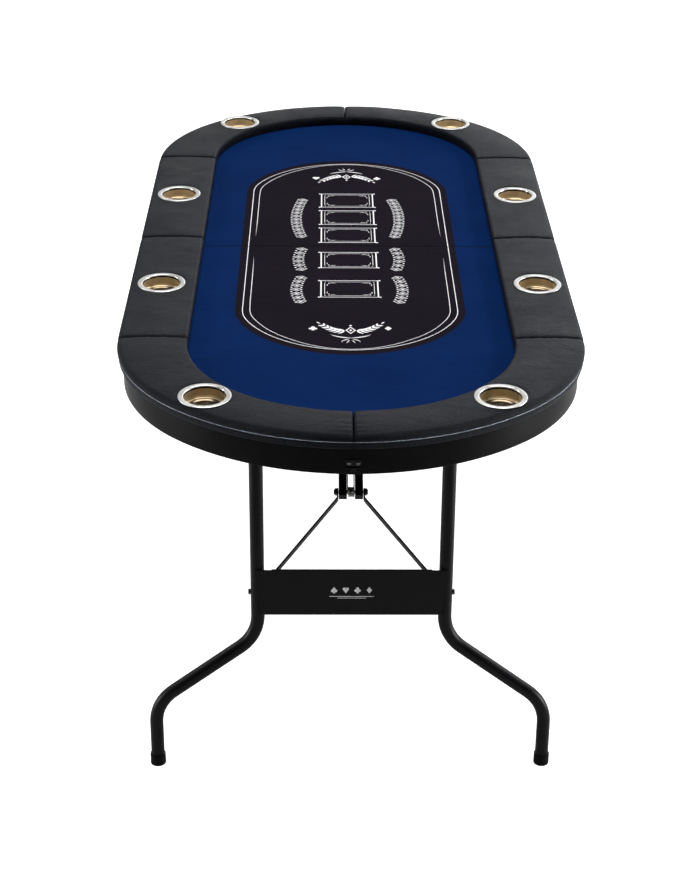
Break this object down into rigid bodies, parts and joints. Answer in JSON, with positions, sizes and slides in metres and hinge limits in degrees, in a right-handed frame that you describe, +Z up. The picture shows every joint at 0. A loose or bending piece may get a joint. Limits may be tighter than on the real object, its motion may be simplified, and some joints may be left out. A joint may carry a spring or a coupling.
{
  "type": "folding card table",
  "caption": "Oval folding card table: padded rails with inset cup wells, cloth playing top hinged at the middle, and braced tube leg frames that fold flat.",
  "frame": {"origin": "on the floor, under the middle of the table", "axes": "+Z up, +Y along the table's length away from the latched end, +X to the right across it"},
  "size_m": [0.91, 1.83, 0.76],
  "materials": {
    "rail_vinyl": "fine-grained soft vinyl, satin",
    "cup_metal": "spun metal, bright silver flange and warm well",
    "playing_cloth": "matt short-nap playing cloth with a printed layout",
    "board": "fibreboard, dark painted",
    "skirt": "smooth semi-gloss",
    "leg_paint": "satin powder coat",
    "foot_rubber": "matt",
    "black_steel": "black coated",
    "bracket_steel": "black coated",
    "bright_steel": "zinc plated"
  },
  "bodies": {
    "near_half": {"near_cross_member": "board", "near_deck_board": "board", "near_felt": "playing_cloth", "near_hinge_leaves": "bracket_steel", "near_left_end_cup": "cup_metal", "near_left_end_cushion": "rail_vinyl", "near_left_side_cup": "cup_metal", "near_left_side_cushion": "rail_vinyl", "near_leg_brackets": "bracket_steel", "near_link_bracket": "bracket_steel", "near_rail_boards": "board", "near_right_end_cup": "cup_metal", "near_right_end_cushion": "rail_vinyl", "near_right_side_cup": "cup_metal", "near_right_side_cushion": "rail_vinyl", "near_screws": "black_steel", "near_skirt": "skirt", "fold_hinge_pins": "bracket_steel", "latch_plate": "black_steel"},
    "far_half": {"far_cross_member": "board", "far_deck_board": "board", "far_felt": "playing_cloth", "far_hinge_leaves": "bracket_steel", "far_left_end_cup": "cup_metal", "far_left_end_cushion": "rail_vinyl", "far_left_side_cup": "cup_metal", "far_left_side_cushion": "rail_vinyl", "far_leg_brackets": "bracket_steel", "far_link_bracket": "bracket_steel", "far_rail_boards": "board", "far_right_end_cup": "cup_metal", "far_right_end_cushion": "rail_vinyl", "far_right_side_cup": "cup_metal", "far_right_side_cushion": "rail_vinyl", "far_screws": "black_steel", "far_skirt": "skirt", "latch_keeper": "black_steel"},
    "latch_lever": {"latch_lever": "black_steel"},
    "near_leg_frame": {"near_left_leg_tube": "leg_paint", "near_right_leg_tube": "leg_paint", "near_cross_plate": "leg_paint", "near_pivot_rod": "leg_paint", "near_foot_caps": "foot_rubber", "near_brace_bolts": "black_steel"},
    "near_brace": {"near_braces": "leg_paint", "near_knuckle_nuts": "black_steel"},
    "near_link": {"near_link_bars": "leg_paint", "near_link_pins": "bright_steel", "near_lock_spring": "bright_steel"},
    "far_leg_frame": {"far_left_leg_tube": "leg_paint", "far_right_leg_tube": "leg_paint", "far_cross_plate": "leg_paint", "far_pivot_rod": "leg_paint", "far_foot_caps": "foot_rubber", "far_brace_bolts": "black_steel"},
    "far_brace": {"far_braces": "leg_paint", "far_knuckle_nuts": "black_steel"},
    "far_link": {"far_link_bars": "leg_paint", "far_link_pins": "bright_steel", "far_lock_spring": "bright_steel"}
  },
  "joints": [
    {"name": "top_fold", "type": "hinge", "parent": "near_half", "child": "far_half", "pos_m": [0, 0, 0.669], "axis": [-1, 0, 0], "range_deg": [0, 90]},
    {"name": "latch_swing", "type": "hinge", "parent": "near_half", "child": "latch_lever", "pos_m": [0, -0.9075, 0.688], "axis": [-1, 0, 0], "range_deg": [0, 100]},
    {"name": "near_leg_fold", "type": "hinge", "parent": "near_half", "child": "near_leg_frame", "pos_m": [0, -0.82, 0.706], "axis": [1, 0, 0], "range_deg": [0, 93.73]},
    {"name": "near_brace_swing", "type": "hinge", "parent": "near_leg_frame", "child": "near_brace", "pos_m": [0, -0.84106, 0.38299], "axis": [1, 0, 0], "range_deg": [0, 56.09]},
    {"name": "near_link_swing", "type": "hinge", "parent": "near_half", "child": "near_link", "pos_m": [0, -0.286, 0.706], "axis": [1, 0, 0], "range_deg": [-30.22, 0]},
    {"name": "far_leg_fold", "type": "hinge", "parent": "far_half", "child": "far_leg_frame", "pos_m": [0, 0.82, 0.706], "axis": [-1, 0, 0], "range_deg": [0, 93.73]},
    {"name": "far_brace_swing", "type": "hinge", "parent": "far_leg_frame", "child": "far_brace", "pos_m": [0, 0.84106, 0.38299], "axis": [-1, 0, 0], "range_deg": [0, 56.09]},
    {"name": "far_link_swing", "type": "hinge", "parent": "far_half", "child": "far_link", "pos_m": [0, 0.286, 0.706], "axis": [-1, 0, 0], "range_deg": [-30.22, 0]}
  ],
  "couplings": [
    {"joint": "near_brace_swing", "follows": "near_leg_fold", "ratio": 0.59824},
    {"joint": "near_link_swing", "follows": "near_leg_fold", "ratio": -0.32217},
    {"joint": "far_brace_swing", "follows": "far_leg_fold", "ratio": 0.59824},
    {"joint": "far_link_swing", "follows": "far_leg_fold", "ratio": -0.32217}
  ]
}
